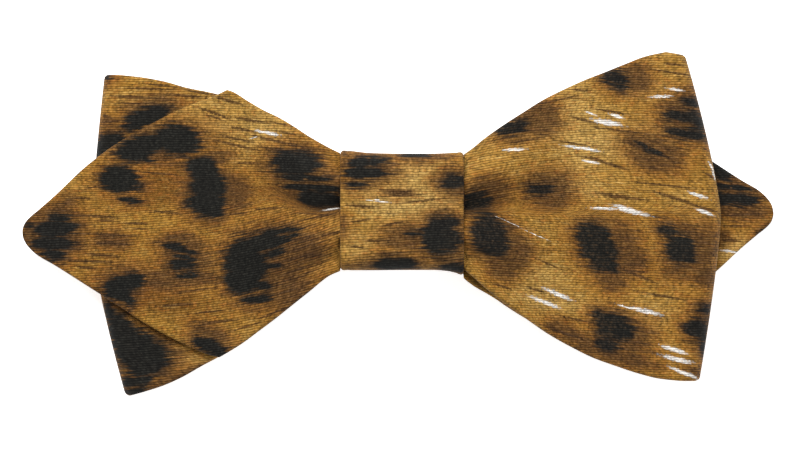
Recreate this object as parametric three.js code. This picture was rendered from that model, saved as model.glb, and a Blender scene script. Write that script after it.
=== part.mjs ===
// A pre-tied diamond point bow tie, lying on its back with its front up.
// Two sewn strips of cloth are crossed over each other. Each has a free pointed end on one side and a folded
// loop on the other, and a knot band wraps both at the waist. A plain bent clip sits behind the band.
// Millimetres. X runs along the bow, Y runs up it as worn, and Z points from its back to its front.
// The origin is on the surface that it lies on, under the middle of the knot.
import * as THREE from "three";

// Cloth and clearances
const CLOTH = 1.4; // thickness of a bow strip: two layers of cotton round an interlining
const SEWN_EDGE = 0.55; // share of that thickness left at its sewn edges
const GAP = 0.3; // clearance between pieces that touch
const LAYER_GAP = 0.45; // along Z between layers of cloth; it is narrower square to them, where they slope

// Knot band
const BAND_WIDTH = 20.4; // along X
const BAND_HEIGHT = 19; // along Y, where it is narrowest
const BAND_WALL = 1.1;
const BAND_CORNER = 3.2; // outer radius where the band turns over the bow
const BAND_HEM = 0.3; // how far the folded edges of the band round off

// Collar clip
const CLIP_WALL = 0.7;
const CLIP_SLOT = 1.6; // takes the edge of a shirt collar
const CLIP_WIDTH = 12;
const CLIP_LENGTH = 16;
const CLIP_LIP = 1.2; // how far the tongue runs past the base plate

// Pleat that gathers each strip at the waist
const FRONT_PLEAT = 2.6; // height of the two humps beside the crease
const BACK_PLEAT = 1.6;
const PLEAT_RUN = 21; // how far the pleat runs out from the band
const PLEAT_FAN = 0.55; // how fast the humps spread, per millimetre from the band
const EDGE_HUMP = 0.25; // hump height left at the edges of the cloth, as a share
const CREASE_SHARPNESS = 1.3; // over 1 rounds the bottom of the crease, under 1 makes it a sharp valley

// How the strips lie
const SETTLE = 21; // distance from the band in which the strips come down to the surface
const OPENING_RUN = 27; // distance from the band in which a loop opens
const EDGE_SAG = 0.28; // share of a loop's depth that is lost at its long edges
const TIP_DROOP = 1.8; // how far the overhanging front point hangs down
const LOOP_CORNER = 0.4; // rounding of a loop's corners at the fold
const FOLD_CURVE = 1.3; // how roundly a fold runs from its middle to its corners; 1 is straight
const TUCK = 3; // how far a strip's hidden end stops short of the band's far edge
const LEAN = 0.65; // the widest line of a point leans, its top towards the knot on the front strip

// Mesh steps
const ACROSS = 16; // steps across a strip
const FOLD_STEPS = 8;
const ARC_STEPS = 4; // steps in each corner of the band
const BAND_SIDE_STEPS = 6; // steps along each flat of the band
const BEND_STEPS = 8; // steps in the clip's bend

// The front strip: its point lies to the left and its loop to the right. The back strip is turned half round.
const FRONT_STRIP = {
  pointSide: -1,
  pointReach: 63.2, // from the middle of the knot to the tip
  widestReach: 29.8, // to the widest line of the point
  pointRise: 20.2, // top corner of the point above the middle
  pointDrop: 24.4, // bottom corner below it
  tipHeight: -3.5,
  loopReach: 53.2, // to the furthest place of the fold
  topCornerReach: 47.2,
  bottomCornerReach: 49.6,
  loopRise: 26.5,
  loopDrop: 28.3,
  loopDepth: 6.2, // between the middles of the loop's two walls
  foldReach: 2.6, // how far the fold bulges past the flat of the walls
  shift: 0,
  runLayer: 3,
  returnLayer: 2,
};
const BACK_STRIP = {
  pointSide: 1,
  pointReach: 62.2,
  widestReach: 29.8,
  pointRise: 22.3,
  pointDrop: 20.7,
  tipHeight: -0.4,
  loopReach: 52,
  topCornerReach: 49.7,
  bottomCornerReach: 46.2,
  loopRise: 22.7,
  loopDrop: 30.6,
  loopDepth: 5,
  foldReach: 2.2,
  shift: -2, // its point sits lower than its waist by this much
  runLayer: 0,
  returnLayer: 1,
};

// Sections from the band to the widest line of a point. at is the share of that distance; upper and lower are
// shares of the way from the waist's half height to the corner's, for the front strip.
const SHOULDER = [
  { at: 0.02, upper: 0.1, lower: 0.09 },
  { at: 0.08, upper: 0.178, lower: 0.155 },
  { at: 0.27, upper: 0.355, lower: 0.343 },
  { at: 0.4, upper: 0.487, lower: 0.47 },
  { at: 0.54, upper: 0.617, lower: 0.608 },
  { at: 0.68, upper: 0.722, lower: 0.738 },
  { at: 0.81, upper: 0.84, lower: 0.858 },
  { at: 0.95, upper: 0.975, lower: 0.965 },
  { at: 1, upper: 1, lower: 1 },
];
// Sections from there to the tip. upper and lower are shares of the way from the tip's height to the
// corner's.
const POINT = [
  { at: 0.05, upper: 0.965, lower: 0.98 },
  { at: 0.21, upper: 0.875, lower: 0.87 },
  { at: 0.37, upper: 0.76, lower: 0.735 },
  { at: 0.53, upper: 0.63, lower: 0.57 },
  { at: 0.69, upper: 0.46, lower: 0.41 },
  { at: 0.84, upper: 0.258, lower: 0.262 },
  { at: 0.92, upper: 0.158, lower: 0.19 },
  { at: 0.968, upper: 0.1, lower: 0.124 },
  { at: 0.992, upper: 0.055, lower: 0.067 },
  { at: 1, upper: 0.017, lower: 0.019 },
];
// Sections of each loop from the band to the start of the fold. top and bottom are shares of the way from the
// waist's half height to the loop's rise and drop.
const FRONT_LOOP = [
  { at: 0.02, top: 0.09, bottom: 0.095 },
  { at: 0.05, top: 0.14, bottom: 0.157 },
  { at: 0.1, top: 0.215, bottom: 0.238 },
  { at: 0.2, top: 0.343, bottom: 0.376 },
  { at: 0.3, top: 0.46, bottom: 0.503 },
  { at: 0.4, top: 0.574, bottom: 0.625 },
  { at: 0.5, top: 0.665, bottom: 0.725 },
  { at: 0.6, top: 0.747, bottom: 0.812 },
  { at: 0.7, top: 0.818, bottom: 0.876 },
  { at: 0.8, top: 0.891, bottom: 0.935 },
  { at: 0.9, top: 0.96, bottom: 0.98 },
  { at: 1, top: 1, bottom: 1 },
];
const BACK_LOOP = [
  { at: 0.02, top: 0.05, bottom: 0.035 },
  { at: 0.05, top: 0.11, bottom: 0.08 },
  { at: 0.1, top: 0.18, bottom: 0.13 },
  { at: 0.2, top: 0.345, bottom: 0.245 },
  { at: 0.3, top: 0.49, bottom: 0.365 },
  { at: 0.4, top: 0.63, bottom: 0.48 },
  { at: 0.5, top: 0.74, bottom: 0.597 },
  { at: 0.6, top: 0.805, bottom: 0.71 },
  { at: 0.7, top: 0.855, bottom: 0.79 },
  { at: 0.8, top: 0.925, bottom: 0.873 },
  { at: 0.9, top: 0.972, bottom: 0.94 },
  { at: 1, top: 1, bottom: 1 },
];
// Stations across the band: at is the share of its half width, top and bottom the shares of its half height.
const BAND_STATIONS = [
  { at: -1, top: 1.05, bottom: 1.03 },
  { at: -0.95, top: 1.055, bottom: 1.035 },
  { at: -0.5, top: 1.01, bottom: 1.035 },
  { at: 0, top: 1, bottom: 1.03 },
  { at: 0.5, top: 1, bottom: 1.03 },
  { at: 0.95, top: 1.025, bottom: 1.04 },
  { at: 1, top: 1.02, bottom: 1.04 },
];

// Places that follow from the sizes above
const layer = CLOTH + LAYER_GAP;
const bandEdge = BAND_WIDTH / 2;
const flareStart = bandEdge + GAP; // where the strips begin to widen
const cornerInside = BAND_CORNER - BAND_WALL;
const edgeLift = GAP + BACK_PLEAT * (1 - EDGE_HUMP); // of the lowest strip's edges over the band's back wall
const cornerBite = cornerInside - Math.sqrt(cornerInside ** 2 - Math.max(cornerInside - edgeLift, 0) ** 2);
const waistHalf = BAND_HEIGHT / 2 - BAND_WALL - cornerBite - GAP;
const clipTop = 2 * CLIP_WALL + CLIP_SLOT;
const bandBack = clipTop + GAP;
const waistBack = bandBack + BAND_WALL + GAP + CLOTH / 2 + BACK_PLEAT;
const waistFront = waistBack + 3 * layer + FRONT_PLEAT + CLOTH / 2;
const bandFront = waistFront + GAP + BAND_WALL;

const { smoothstep, lerp } = THREE.MathUtils;

// The humps of the pleat: 0 in the crease, 1 on the two crests, and a little left at the edges.
function hump(out, y) {
  const half = waistHalf + PLEAT_FAN * Math.max(out, 0);
  const across = Math.min(Math.abs(y) / half, 1);
  const wave = Math.sin(Math.PI * across);
  return across < 0.5 ? wave ** CREASE_SHARPNESS : EDGE_HUMP + (1 - EDGE_HUMP) * wave ** 2;
}

// How far a loop's walls stand apart, beyond lying on each other.
function loopOpening(strip, out, y) {
  const half = (strip.loopRise + strip.loopDrop) / 2;
  const sag = 1 - EDGE_SAG * Math.min((y / half) ** 2, 1);
  return (strip.loopDepth - layer) * smoothstep(out, 0, OPENING_RUN) * sag;
}

// Height of the middle of a layer of cloth over a place of the bow. Layers 0 and 1 are the back strip's long
// run and return, 2 and 3 the front strip's return and long run. All four lie on each other at the waist.
function layerHeight(order, x, y) {
  const out = Math.abs(x) - bandEdge;
  const raised = 1 - smoothstep(out, 0, SETTLE);
  const pleat = (1 - smoothstep(out, 0, PLEAT_RUN)) * hump(out, y);
  const floor = lerp(CLOTH / 2, waistBack, raised);
  if (order === 0) return floor - BACK_PLEAT * pleat;
  if (x < 0) {
    const backLoop = floor + layer + loopOpening(BACK_STRIP, out, y);
    if (order === 1) return backLoop - BACK_PLEAT * pleat;
    if (order === 3) return backLoop + layer * (1 + raised) + FRONT_PLEAT * pleat - tipDroop(-x);
  }
  if (order === 1) return floor + layer - BACK_PLEAT * pleat;
  const frontReturn = floor + layer * (1 + raised) + FRONT_PLEAT * pleat;
  if (order === 2) return frontReturn;
  return frontReturn + layer + loopOpening(FRONT_STRIP, out, y);
}

// The front point hangs down where it reaches past the loop under it.
function tipDroop(reach) {
  const start = BACK_STRIP.loopReach - BACK_STRIP.foldReach;
  const overhang = Math.max(reach - start, 0) / (FRONT_STRIP.pointReach - start);
  return TIP_DROOP * overhang ** 2;
}

// One section of a strip: the points of the cloth's middle from its bottom edge to its top edge.
function section(placeOf) {
  return Array.from({ length: ACROSS + 1 }, (_, i) => placeOf(-1 + (2 * i) / ACROSS));
}

// The sections of a strip in order: tip, point, waist, long run of the loop, fold, return, hidden end.
function stripSections(strip) {
  const { pointSide, runLayer, returnLayer, shift } = strip;
  const turned = strip === BACK_STRIP;
  const loopRows = turned ? BACK_LOOP : FRONT_LOOP;
  const placed = (order, x, y) => new THREE.Vector3(x, y, layerHeight(order, x, y));
  const acrossFrom = (bottom, top, t) => lerp(bottom, top, (t + 1) / 2);

  // The back strip is the same cut turned half round, so its upper and lower edges change places.
  const topShare = (row) => (turned ? row.lower : row.upper);
  const bottomShare = (row) => (turned ? row.upper : row.lower);

  const shoulder = SHOULDER.map((row) =>
    section((t) => {
      const reach = lerp(flareStart, strip.widestReach, row.at) - LEAN * row.at * t * -pointSide;
      const top = lerp(waistHalf, strip.pointRise, topShare(row)) + shift;
      const bottom = -lerp(waistHalf, strip.pointDrop, bottomShare(row)) + shift;
      return placed(runLayer, pointSide * reach, acrossFrom(bottom, top, t));
    }),
  );
  const point = POINT.map((row) =>
    section((t) => {
      const lean = LEAN * (1 - row.at) * t * -pointSide;
      const reach = lerp(strip.widestReach, strip.pointReach, row.at) - lean;
      const top = lerp(strip.tipHeight, strip.pointRise + shift, topShare(row));
      const bottom = lerp(strip.tipHeight, -strip.pointDrop + shift, bottomShare(row));
      return placed(runLayer, pointSide * reach, acrossFrom(bottom, top, t));
    }),
  );
  const waist = (order, xs) => xs.map((x) => section((t) => placed(order, x, t * waistHalf)));

  // Where the fold starts, for each place across: its corners lie nearer to the knot than its middle.
  const foldStart = (t) => {
    const corner = t > 0 ? strip.topCornerReach : strip.bottomCornerReach;
    return lerp(strip.loopReach, corner, Math.abs(t) ** FOLD_CURVE) - strip.foldReach - CLOTH / 2;
  };
  const loopPlace = (order, row, t) => {
    const reach = lerp(flareStart, foldStart(t), row.at);
    const top = lerp(waistHalf, strip.loopRise, row.top);
    const bottom = -lerp(waistHalf, strip.loopDrop, row.bottom);
    return placed(order, -pointSide * reach, acrossFrom(bottom, top, t));
  };
  const wall = (order) => loopRows.map((row) => section((t) => loopPlace(order, row, t)));
  const fold = Array.from({ length: FOLD_STEPS - 1 }, (_, i) => {
    const turn = (Math.PI * (i + 1)) / FOLD_STEPS;
    return section((t) => {
      const start = loopPlace(runLayer, loopRows.at(-1), t);
      const end = loopPlace(returnLayer, loopRows.at(-1), t);
      const bulge = strip.foldReach * Math.sin(turn);
      const rounding = LOOP_CORNER * Math.sin(turn) * t;
      const height = lerp(start.z, end.z, (1 - Math.cos(turn)) / 2);
      return new THREE.Vector3(start.x - pointSide * bulge, start.y - rounding, height);
    });
  });

  const pointEdge = pointSide * flareStart;
  const hiddenEnd = pointSide * (bandEdge - TUCK);
  return [
    ...point.toReversed(),
    ...shoulder.toReversed(),
    ...waist(runLayer, [pointEdge, 0, -pointEdge]),
    ...wall(runLayer),
    ...fold,
    ...wall(returnLayer).toReversed(),
    ...waist(returnLayer, [-pointEdge, 0, hiddenEnd]),
  ];
}

// A closed skin over rings of points, all of one length, with an end cap of quads between its two halves.
function loft(rings, closedPath) {
  const size = rings[0].length;
  const positions = rings.flat().flatMap((p) => [p.x, p.y, p.z]);
  const index = [];
  const quad = (a, b, c, d) => index.push(a, b, c, a, c, d);
  const ringCount = closedPath ? rings.length : rings.length - 1;
  for (let r = 0; r < ringCount; r++) {
    const here = r * size;
    const next = ((r + 1) % rings.length) * size;
    for (let i = 0; i < size; i++) {
      const j = (i + 1) % size;
      quad(here + i, here + j, next + j, next + i);
    }
  }
  if (!closedPath) {
    const last = (rings.length - 1) * size;
    for (let i = 0; i < size / 2 - 1; i++) {
      const across = size - 1 - i;
      quad(i, across, across - 1, i + 1);
      quad(last + i, last + i + 1, last + across - 1, last + across);
    }
  }
  const geometry = new THREE.BufferGeometry();
  geometry.setAttribute("position", new THREE.Float32BufferAttribute(positions, 3));
  geometry.setIndex(index);
  geometry.computeVertexNormals();
  return geometry;
}

// The sections thickened to cloth, each to a ring round the strip, thinner at its sewn edges.
function clothGeometry(sections) {
  const rings = sections.map((points, s) => {
    const before = sections[Math.max(s - 1, 0)];
    const after = sections[Math.min(s + 1, sections.length - 1)];
    const faces = points.map((p, i) => {
      const along = new THREE.Vector2(after[i].x - before[i].x, after[i].z - before[i].z).normalize();
      const edge = i === 0 || i === ACROSS ? SEWN_EDGE : 1;
      const half = (CLOTH / 2) * edge;
      const offset = new THREE.Vector3(-along.y * half, 0, along.x * half);
      return { front: p.clone().add(offset), back: p.clone().sub(offset) };
    });
    return [...faces.map((f) => f.back), ...faces.map((f) => f.front).toReversed()];
  });
  return loft(rings, false);
}

// A closed ring of the band at one station, a given depth under its outer face.
function bandRing(station, depth) {
  const half = BAND_HEIGHT / 2;
  const low = -half * station.bottom + depth;
  const high = half * station.top - depth;
  const back = bandBack + depth;
  const front = bandFront - depth;
  const radius = BAND_CORNER - depth;
  const corners = [
    { y: high - radius, z: front - radius, from: 0 },
    { y: low + radius, z: front - radius, from: Math.PI / 2 },
    { y: low + radius, z: back + radius, from: Math.PI },
    { y: high - radius, z: back + radius, from: 1.5 * Math.PI },
  ];
  const x = bandEdge * station.at;
  const ring = [];
  corners.forEach((corner, c) => {
    for (let k = 0; k <= ARC_STEPS; k++) {
      const angle = corner.from + (Math.PI / 2) * (k / ARC_STEPS);
      const y = corner.y + radius * Math.cos(angle);
      const z = corner.z + radius * Math.sin(angle);
      ring.push(new THREE.Vector3(x, y, z));
    }
    const start = ring.at(-1);
    const next = corners[(c + 1) % corners.length];
    const end = new THREE.Vector3(
      x,
      next.y + radius * Math.cos(next.from),
      next.z + radius * Math.sin(next.from),
    );
    for (let k = 1; k < BAND_SIDE_STEPS; k++) ring.push(start.clone().lerp(end, k / BAND_SIDE_STEPS));
  });
  return ring;
}

function bandGeometry() {
  const outside = BAND_STATIONS.map((station) =>
    bandRing(station, Math.abs(station.at) === 1 ? BAND_HEM : 0),
  );
  const inside = BAND_STATIONS.map((station) => bandRing(station, BAND_WALL)).toReversed();
  return loft([...outside, ...inside], true);
}

// The clip: a base plate against the back of the band, a round bend at the top and a tongue below.
function clipGeometry() {
  const innerRadius = CLIP_SLOT / 2;
  const outerRadius = innerRadius + CLIP_WALL;
  const bendY = CLIP_LENGTH / 2 - outerRadius;
  const baseEnd = -CLIP_LENGTH / 2;
  const middle = clipTop / 2;
  const side = new THREE.Shape();
  side.moveTo(baseEnd - CLIP_LIP, 0);
  side.lineTo(bendY, 0);
  side.absarc(bendY, middle, outerRadius, -Math.PI / 2, Math.PI / 2, false);
  side.lineTo(baseEnd, clipTop);
  side.lineTo(baseEnd, clipTop - CLIP_WALL);
  side.lineTo(bendY, clipTop - CLIP_WALL);
  side.absarc(bendY, middle, innerRadius, Math.PI / 2, -Math.PI / 2, true);
  side.lineTo(baseEnd - CLIP_LIP, CLIP_WALL);
  side.closePath();
  const extrusion = { depth: CLIP_WIDTH, bevelEnabled: false, curveSegments: BEND_STEPS };
  const geometry = new THREE.ExtrudeGeometry(side, extrusion);
  // The outline's axes become Y and Z, and its depth becomes X.
  const toRow = new THREE.Matrix4().makeBasis(
    new THREE.Vector3(0, 1, 0),
    new THREE.Vector3(0, 0, 1),
    new THREE.Vector3(1, 0, 0),
  );
  return geometry.translate(0, 0, -CLIP_WIDTH / 2).applyMatrix4(toRow);
}

function printedCotton() {
  return new THREE.MeshStandardMaterial({ color: 0x9a6a2c, roughness: 0.85, metalness: 0 });
}

function clipSteel() {
  return new THREE.MeshStandardMaterial({ color: 0xb9bbc0, roughness: 0.35, metalness: 1 });
}

function piece(name, geometry, material) {
  const mesh = new THREE.Mesh(geometry, material);
  mesh.name = name;
  return mesh;
}

const bowTie = new THREE.Group();
bowTie.add(
  piece("front_bow", clothGeometry(stripSections(FRONT_STRIP)), printedCotton()),
  piece("back_bow", clothGeometry(stripSections(BACK_STRIP)), printedCotton()),
  piece("knot_band", bandGeometry(), printedCotton()),
  piece("collar_clip", clipGeometry(), clipSteel()),
);

export default bowTie;
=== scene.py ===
import math
import random

import bpy
import numpy as np
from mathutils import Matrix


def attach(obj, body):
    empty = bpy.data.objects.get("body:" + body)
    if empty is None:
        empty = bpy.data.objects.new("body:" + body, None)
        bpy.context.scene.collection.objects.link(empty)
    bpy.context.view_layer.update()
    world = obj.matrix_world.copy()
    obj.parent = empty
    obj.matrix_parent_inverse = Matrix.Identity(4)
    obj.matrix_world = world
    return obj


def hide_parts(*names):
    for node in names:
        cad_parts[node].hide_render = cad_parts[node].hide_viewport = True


# A pre-tied diamond point bow tie of printed cotton, lying on its back with its front up.
# Shapes are worked out in millimetres, as the solids were, and meshes are made in metres.
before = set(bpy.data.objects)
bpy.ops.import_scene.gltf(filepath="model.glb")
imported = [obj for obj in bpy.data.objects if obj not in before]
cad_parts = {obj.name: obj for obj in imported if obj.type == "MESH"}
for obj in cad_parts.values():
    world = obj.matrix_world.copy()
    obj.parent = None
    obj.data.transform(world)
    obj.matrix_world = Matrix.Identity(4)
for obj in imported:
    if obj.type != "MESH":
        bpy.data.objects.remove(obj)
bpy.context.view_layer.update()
MM = 0.001

# Cloth and clearances
CLOTH = 1.4
GAP = 0.3
LAYER_GAP = 0.45

# Knot band
BAND_WIDTH = 20.4
BAND_HEIGHT = 19.0
BAND_WALL = 1.1
BAND_CORNER = 3.2

# Collar clip
CLIP_WALL = 0.7
CLIP_SLOT = 1.6

# Pleat at the waist
FRONT_PLEAT = 2.6
BACK_PLEAT = 1.6
PLEAT_RUN = 21.0
PLEAT_FAN = 0.55
EDGE_HUMP = 0.25
CREASE_SHARPNESS = 1.3

# How the strips lie
SETTLE = 21.0
OPENING_RUN = 27.0
EDGE_SAG = 0.28
TIP_DROOP = 1.8
FOLD_CURVE = 1.3
TUCK = 3.0
LEAN = 0.65

# A strip's reaches are measured outwards from the middle of the knot, its rises up and its drops down.
# Its long run goes from the point to the fold, its return from there to the band. Layer 0 lies at the back.
FRONT_STRIP = dict(
    name="front_bow", point_side=-1, run_layer=3, return_layer=2, shift=0.0,
    point_reach=63.2, widest_reach=29.8, point_rise=20.2, point_drop=24.4, tip_height=-3.5,
    loop_reach=53.2, top_corner=47.2, bottom_corner=49.6, loop_rise=26.5, loop_drop=28.3,
    loop_depth=6.2, fold_reach=2.6, corner_rise=-0.4, corner_drop=0.05,
)
BACK_STRIP = dict(
    name="back_bow", point_side=1, run_layer=0, return_layer=1, shift=-2.0,
    point_reach=62.2, widest_reach=29.8, point_rise=22.3, point_drop=20.7, tip_height=-0.4,
    loop_reach=52.0, top_corner=49.7, bottom_corner=46.2, loop_rise=22.7, loop_drop=30.6,
    loop_depth=5.0, fold_reach=2.2, corner_rise=0.1, corner_drop=0.6,
)

# Outlines of the strips. First column: share of the way out; the others: shares of the full height above and
# below the middle.
SHOULDER = (
    (0, 0.13, 0.12), (0.02, 0.145, 0.13), (0.08, 0.19, 0.162), (0.27, 0.355, 0.343), (0.4, 0.487, 0.47),
    (0.54, 0.617, 0.608), (0.68, 0.722, 0.738), (0.81, 0.84, 0.858), (0.95, 0.975, 0.965), (1, 1, 1),
)
BACK_SHOULDER = ((0, 0.25, 0.03), (0.02, 0.13, 0.09)) + SHOULDER[2:]
POINT = (
    (0, 1, 1), (0.05, 0.965, 0.98), (0.21, 0.875, 0.87), (0.37, 0.76, 0.735), (0.53, 0.63, 0.57),
    (0.69, 0.46, 0.41), (0.84, 0.258, 0.262), (0.92, 0.158, 0.19), (0.968, 0.1, 0.124),
    (0.992, 0.055, 0.067), (1, 0.017, 0.019),
)
FRONT_LOOP = (
    (0, 0.075, 0.085), (0.02, 0.1, 0.11), (0.05, 0.14, 0.157), (0.1, 0.215, 0.238), (0.2, 0.343, 0.376),
    (0.3, 0.46, 0.503), (0.4, 0.574, 0.625), (0.5, 0.665, 0.725), (0.6, 0.747, 0.812),
    (0.7, 0.818, 0.876), (0.8, 0.891, 0.935), (0.9, 0.96, 0.98), (1, 1, 1),
)
BACK_LOOP = (
    (0, 0, 0), (0.02, 0.05, 0.035), (0.05, 0.11, 0.08), (0.1, 0.18, 0.13), (0.2, 0.345, 0.245),
    (0.3, 0.49, 0.365), (0.4, 0.63, 0.48), (0.5, 0.74, 0.597), (0.6, 0.805, 0.71), (0.7, 0.855, 0.79),
    (0.8, 0.925, 0.873), (0.9, 0.972, 0.938), (1, 1, 0.985),
)
BAND_STATIONS = (
    (-1, 1.05, 1.03), (-0.95, 1.055, 1.035), (-0.5, 1.01, 1.035), (0, 1, 1.03), (0.5, 1, 1.03),
    (0.75, 1.01, 1.05), (0.95, 1.025, 1.11), (1, 1.02, 1.12),
)

# The crease beside the knot, left and right: places of its line from the band outwards
CREASE_LEFT = ((10.2, 0.5), (13.0, 0.15), (15.0, 0.35), (17.5, 1.3), (21.0, 3.0))
CREASE_RIGHT = ((10.2, 0.25), (14.0, 0.65), (18.3, 1.0), (22.0, 1.1))
# A pressed fold line that runs out of the crease over the right wing: place and strength
FOLD_LINE = ((12.4, 0.1, 0.0), (16.3, -1.4, 1.0), (20.0, -3.1, 1.0), (23.7, -4.7, 0.9), (26.4, -6.1, 0.0))
# How far the cloth sinks over that line and stands up under it, each with the width of it
FOLD_LINE_SINK = (0.34, 0.75)
FOLD_LINE_STAND = (0.12, 0.9)

# The crest above the crease, as a share of the way to the edge
CREST = 0.56
# The fold that stands below the crease, left and right: its height as a share of the pleat, and its run
RIDGE_LEFT = (0.9, 12.0)
RIDGE_RIGHT = (0.62, 10.0)
RIDGE_SIDE = 0.55

# Low folds that fan out from the knot, and the slack of the cloth further out
FAN_HEIGHT = 0.16
FAN_FOLDS = 11
FAN_START = 4.0
FAN_RUN = 13.0
SLACK_HEIGHT = 0.17

layer = CLOTH + LAYER_GAP
band_edge = BAND_WIDTH / 2
flare_start = band_edge + 0.06
corner_inside = BAND_CORNER - BAND_WALL
edge_lift = GAP + BACK_PLEAT * (1 - EDGE_HUMP)
corner_bite = corner_inside - math.sqrt(corner_inside ** 2 - max(corner_inside - edge_lift, 0) ** 2)
waist_half = BAND_HEIGHT / 2 - BAND_WALL - corner_bite - GAP
clip_top = 2 * CLIP_WALL + CLIP_SLOT
band_back = clip_top + GAP
waist_back = band_back + BAND_WALL + GAP + CLOTH / 2 + BACK_PLEAT
waist_front = waist_back + 3 * layer + FRONT_PLEAT + CLOTH / 2
band_front = waist_front + GAP + BAND_WALL


def smoothstep(value, low, high):
    """0 up to low, 1 from high on, and a soft step between them."""
    share = np.clip((value - low) / (high - low), 0.0, 1.0)
    return share * share * (3.0 - 2.0 * share)


def lerp(a, b, share):
    """The value that lies at a share of the way from a to b."""
    return a + (b - a) * share


def smooth_line(places, heights, at):
    """A smooth line through the given heights that never swings past them."""
    places = np.asarray(places, float)
    heights = np.asarray(heights, float)
    steps = np.diff(places)
    slopes = np.diff(heights) / steps
    before, after = slopes[:-1], slopes[1:]
    same_way = before * after > 0
    total = np.where(same_way, before + after, 1.0)
    inner = np.where(same_way, 2 * before * after / total, 0.0)
    tangents = np.concatenate(([slopes[0]], inner, [slopes[-1]]))
    at = np.clip(at, places[0], places[-1])
    i = np.clip(np.searchsorted(places, at) - 1, 0, len(steps) - 1)
    u = (at - places[i]) / steps[i]
    start = heights[i] * (1 + 2 * u) * (1 - u) ** 2 + steps[i] * tangents[i] * u * (1 - u) ** 2
    end = heights[i + 1] * u * u * (3 - 2 * u) + steps[i] * tangents[i + 1] * u * u * (u - 1)
    return start + end


def column(table, number, at):
    """A smooth line through one column of a table, over its first column."""
    return smooth_line([row[0] for row in table], [row[number] for row in table], at)


def hump(out, y):
    """The plain pleat: 0 in the crease, 1 on its two crests, and a little left at the edges."""
    half = waist_half + PLEAT_FAN * np.maximum(out, 0)
    across = np.minimum(np.abs(y) / half, 1)
    wave = np.sin(np.pi * across)
    outer = EDGE_HUMP + (1 - EDGE_HUMP) * wave ** 2
    return np.where(across < 0.5, np.maximum(wave, 0) ** CREASE_SHARPNESS, outer)


def crease_height(x):
    """How high the crease beside the knot runs."""
    left = column(CREASE_LEFT, 1, -x)
    right = column(CREASE_RIGHT, 1, x)
    return np.where(x < 0, left, right)


def front_hump(x, out, y):
    """The pleat as the front shows it: the cloth above sinks into the crease, and below it stands a fold."""
    half = waist_half + PLEAT_FAN * np.maximum(out, 0)
    above_crease = y - crease_height(x)
    up = np.clip(above_crease / (half - crease_height(x)), 0, 1)
    rise = np.sin(np.pi / 2 * np.minimum(up / CREST, 1)) ** CREASE_SHARPNESS
    past_crest = np.clip((up - CREST) / (1 - CREST), 0, 1)
    fall = EDGE_HUMP + (1 - EDGE_HUMP) * np.cos(np.pi / 2 * past_crest) ** 2
    upper = np.where(up < CREST, rise, fall)
    down = np.clip(-above_crease / (half + crease_height(x)), 0, 1)
    wave = np.sin(np.pi * down)
    plain = np.maximum(wave, 0) ** CREASE_SHARPNESS
    ridge_height, ridge_run = (np.where(x < 0, a, b) for a, b in zip(RIDGE_LEFT, RIDGE_RIGHT))
    ridge = ridge_height * (1 - smoothstep(out, 1.0, ridge_run))
    stood = plain + (1 - plain) * ridge * smoothstep(-above_crease, 0.0, RIDGE_SIDE)
    lower = np.where(down < 0.5, stood, EDGE_HUMP + (1 - EDGE_HUMP) * wave ** 2)
    shown = np.where(above_crease > 0, upper, lower)
    return lerp(hump(out, y), shown, smoothstep(out, -2.0, 0.0))


def loop_opening(strip, out, y):
    """The room inside a loop: it opens from the band outwards, and less at the sewn edges."""
    half = (strip["loop_rise"] + strip["loop_drop"]) / 2
    sag = 1 - EDGE_SAG * np.minimum((y / half) ** 2, 1)
    return (strip["loop_depth"] - layer) * smoothstep(out, 0, OPENING_RUN) * sag


def tip_droop(reach):
    """How far the front point droops where it hangs over the back strip's fold."""
    start = BACK_STRIP["loop_reach"] - BACK_STRIP["fold_reach"]
    overhang = np.maximum(reach - start, 0) / (FRONT_STRIP["point_reach"] - start)
    return TIP_DROOP * overhang ** 2


def front_wrinkles(x, y):
    """Low folds that fan out from the knot, the pressed fold line, and the slack of the cloth."""
    out = np.abs(x) - band_edge
    angle = np.arctan2(y - crease_height(x), np.abs(x) - 3.0)
    reach = smoothstep(out, 0.0, FAN_START) * np.exp(-(np.maximum(out - FAN_START, 0) / FAN_RUN) ** 2)
    fan = FAN_HEIGHT * np.sin(FAN_FOLDS * angle + np.where(x < 0, 0.6, 2.2)) * reach
    slack = SLACK_HEIGHT * np.sin(x / 6.1 + y / 9.7) * np.sin(y / 5.3 - x / 15.0)
    slack = slack * smoothstep(out, 2.0, 14.0)
    places, heights, strengths = zip(*FOLD_LINE)
    over = y - np.interp(x, places, heights)
    strength = np.interp(x, places, strengths, left=0, right=0)
    sink = -FOLD_LINE_SINK[0] * np.exp(-over / FOLD_LINE_SINK[1])
    stand = FOLD_LINE_STAND[0] * np.exp(over / FOLD_LINE_STAND[1])
    pressed = np.where(over > 0, sink, stand)
    return fan + slack + strength * pressed


def layer_height(order, x, y):
    """Height of the middle of a layer of cloth, as the solids have it, with the front's own creases."""
    out = np.abs(x) - band_edge
    raised = 1 - smoothstep(out, 0, SETTLE)
    run = 1 - smoothstep(out, 0, PLEAT_RUN)
    back_pleat = BACK_PLEAT * run * hump(out, y)
    floor = lerp(CLOTH / 2, waist_back, raised)
    left_return = floor + layer + loop_opening(BACK_STRIP, out, y)
    if order == 0:
        return floor - back_pleat
    if order == 1:
        return np.where(x < 0, left_return, floor + layer) - back_pleat
    front_pleat = FRONT_PLEAT * run * front_hump(x, out, y)
    front_return = floor + layer * (1 + raised) + front_pleat
    if order == 2:
        return front_return
    left = left_return + layer * (1 + raised) + front_pleat - tip_droop(-x)
    right = front_return + layer + loop_opening(FRONT_STRIP, out, y)
    return np.where(x < 0, left, right) + front_wrinkles(x, y)


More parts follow.
